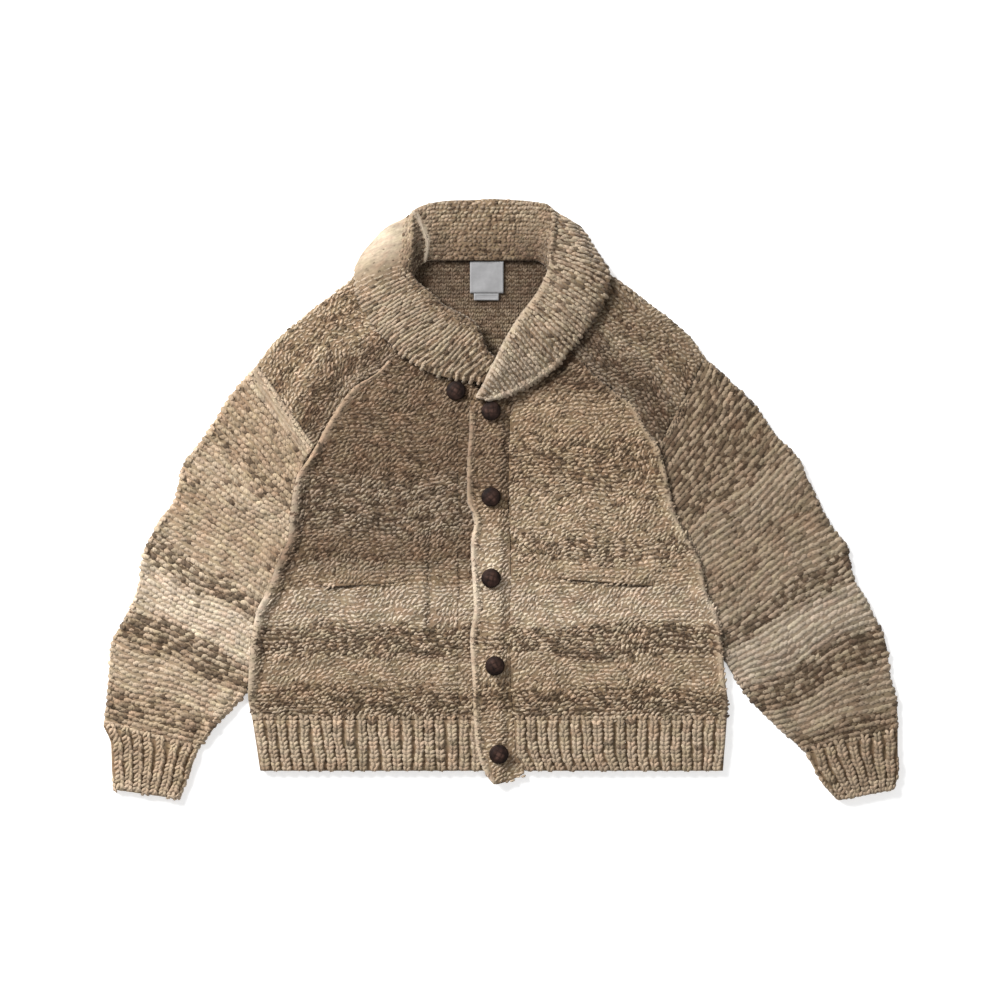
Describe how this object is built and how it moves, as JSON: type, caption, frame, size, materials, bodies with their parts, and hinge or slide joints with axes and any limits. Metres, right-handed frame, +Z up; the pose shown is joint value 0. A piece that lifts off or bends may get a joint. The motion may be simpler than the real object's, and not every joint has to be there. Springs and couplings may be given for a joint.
{
  "type": "cowichan cardigan",
  "caption": "Hand-knitted shawl-collar wool cardigan, laid flat and buttoned, with raglan yokes, slit pockets and ribbed hem and cuffs.",
  "frame": {"origin": "middle of the garment's outline in plan, on the surface that it lies on", "axes": "+X to the wearer's left, across the sleeves; +Y from the hem to the neck; +Z up, out of the front"},
  "size_m": [1.0205, 0.772, 0.033],
  "materials": {
    "marled_wool": "bulky marled brown and beige wool, knitted",
    "rib_wool": "bulky tan wool, ribbed",
    "woven_label": "plain white woven ribbon",
    "button_leather": "dark brown woven leather, satin"
  },
  "bodies": {
    "root": {"back_body": "marled_wool", "back_hem_rib": "rib_wool", "front_right": "marled_wool", "front_left": "marled_wool", "hem_rib_front_right": "rib_wool", "hem_rib_front_left": "rib_wool", "under_band": "marled_wool", "button_band": "marled_wool", "shoulder_yoke_right": "marled_wool", "shoulder_yoke_left": "marled_wool", "sleeve_right": "marled_wool", "sleeve_left": "marled_wool", "cuff_right": "rib_wool", "cuff_left": "rib_wool", "collar": "marled_wool", "pocket_welt_right": "marled_wool", "pocket_welt_left": "marled_wool", "neck_label": "woven_label", "care_label": "woven_label", "button_1": "button_leather", "button_2": "button_leather", "button_3": "button_leather", "button_4": "button_leather", "button_5": "button_leather", "button_6": "button_leather"}
  },
  "joints": []
}
